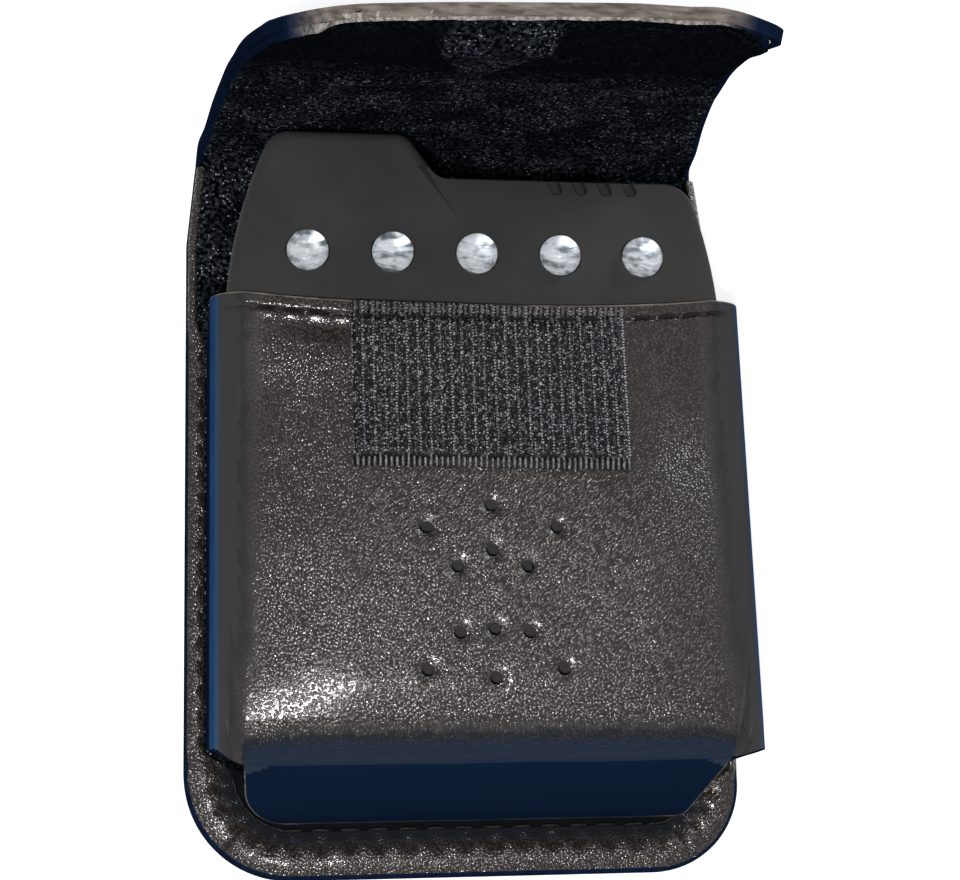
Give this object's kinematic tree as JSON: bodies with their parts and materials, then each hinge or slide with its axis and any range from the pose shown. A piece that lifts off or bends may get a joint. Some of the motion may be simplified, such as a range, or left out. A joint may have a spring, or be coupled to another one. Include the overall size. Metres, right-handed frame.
{
  "type": "pocket radio receiver in leather belt case",
  "caption": "Small matt black pocket receiver with a row of clear indicator lamps, held in a moulded black leather belt case with a hook-and-loop flap that stands open",
  "frame": {"origin": "middle of the belt loop's outer face, which the case lies on", "axes": "+X to the radio's right seen from its face, +Y from the foot of the case towards the flap, +Z out of the radio's face"},
  "size_m": [0.0682, 0.0944, 0.075],
  "materials": {
    "case_leather": "black coated leather with a fine pressed grain",
    "loop_lining": "black brushed loop lining",
    "stiffener": "pressed fibre board",
    "hook_tape": "woven hook tape",
    "thread": "waxed black thread",
    "radio_shell": "moulded black plastic with a fine matt texture",
    "led_epoxy": "clear cast epoxy",
    "plated_steel": "bright plated steel",
    "board_laminate": "green coated laminate",
    "speaker_iron": "ferrite magnet",
    "paper": "black pressed paper",
    "felt": "grey felt",
    "wire_insulation": "red and black insulated wire",
    "cell_jacket": "printed-free metal cell jacket",
    "spring_steel": "nickel plated spring steel",
    "wheel_plastic": "moulded black plastic",
    "pot_phenolic": "brown phenolic",
    "ferrite": "sintered ferrite",
    "copper": "enamelled copper winding",
    "clip_plastic": "natural nylon",
    "chip_epoxy": "black moulded epoxy",
    "resistor_body": "tan lacquer",
    "capacitor_sleeve": "blue plastic sleeve",
    "can_metal": "tinned screening can"
  },
  "bodies": {
    "case_and_radio": {"back_leather": "case_leather", "rim_binding": "case_leather", "belt_loop": "case_leather", "pocket_leather": "case_leather", "back_lining": "loop_lining", "back_board": "stiffener", "hook_patch": "hook_tape", "rim_stitches": "thread", "hem_stitches": "thread", "patch_stitches": "thread", "loop_stitches": "thread", "front_shell": "radio_shell", "rear_shell": "radio_shell", "shell_screws": "plated_steel", "circuit_board": "board_laminate", "led_leads": "plated_steel", "speaker_frame": "plated_steel", "speaker_magnet": "speaker_iron", "speaker_cone": "paper", "speaker_gasket": "felt", "speaker_wires": "wire_insulation", "contact_plates": "plated_steel", "contact_springs": "spring_steel", "battery_wires": "wire_insulation", "volume_pot": "pot_phenolic", "tuning_pot": "pot_phenolic", "ferrite_rod": "ferrite", "aerial_coil": "copper", "aerial_clips": "clip_plastic", "integrated_circuits": "chip_epoxy", "transistors": "chip_epoxy", "resistors": "resistor_body", "capacitors": "capacitor_sleeve", "coil_cans": "can_metal", "led_1": "led_epoxy", "led_2": "led_epoxy", "led_3": "led_epoxy", "led_4": "led_epoxy", "led_5": "led_epoxy", "cell_1": "cell_jacket", "cell_2": "cell_jacket"},
    "flap_spine": {"flap_spine_leather": "case_leather", "flap_spine_lining": "loop_lining"},
    "flap_front": {"flap_front_leather": "case_leather", "flap_front_lining": "loop_lining"},
    "battery_door": {"battery_door": "radio_shell"},
    "volume_wheel": {"volume_wheel": "wheel_plastic", "volume_shaft": "plated_steel", "volume_screw": "plated_steel"},
    "tuning_wheel": {"tuning_wheel": "wheel_plastic", "tuning_shaft": "plated_steel", "tuning_screw": "plated_steel"}
  },
  "joints": [
    {"name": "flap_fold", "type": "hinge", "parent": "case_and_radio", "child": "flap_spine", "pos_m": [0, 0.0428, 0.008], "axis": [1, 0, 0], "range_deg": [-88, 8]},
    {"name": "flap_turn", "type": "hinge", "parent": "flap_spine", "child": "flap_front", "pos_m": [0, 0.0428, 0.0343], "axis": [1, 0, 0], "range_deg": [-17, 65]},
    {"name": "battery_door_slide", "type": "slide", "parent": "case_and_radio", "child": "battery_door", "axis": [0, -1, 0], "range_m": [0, 0.0042]},
    {"name": "volume_turn", "type": "hinge", "parent": "case_and_radio", "child": "volume_wheel", "pos_m": [0.0037, 0.0266, 0.01805], "axis": [0, 0, 1], "range_deg": [-140, 140]},
    {"name": "tuning_turn", "type": "hinge", "parent": "case_and_radio", "child": "tuning_wheel", "pos_m": [0.0237, 0.021, 0.01805], "axis": [0, 0, 1], "range_deg": [-150, 150]}
  ]
}
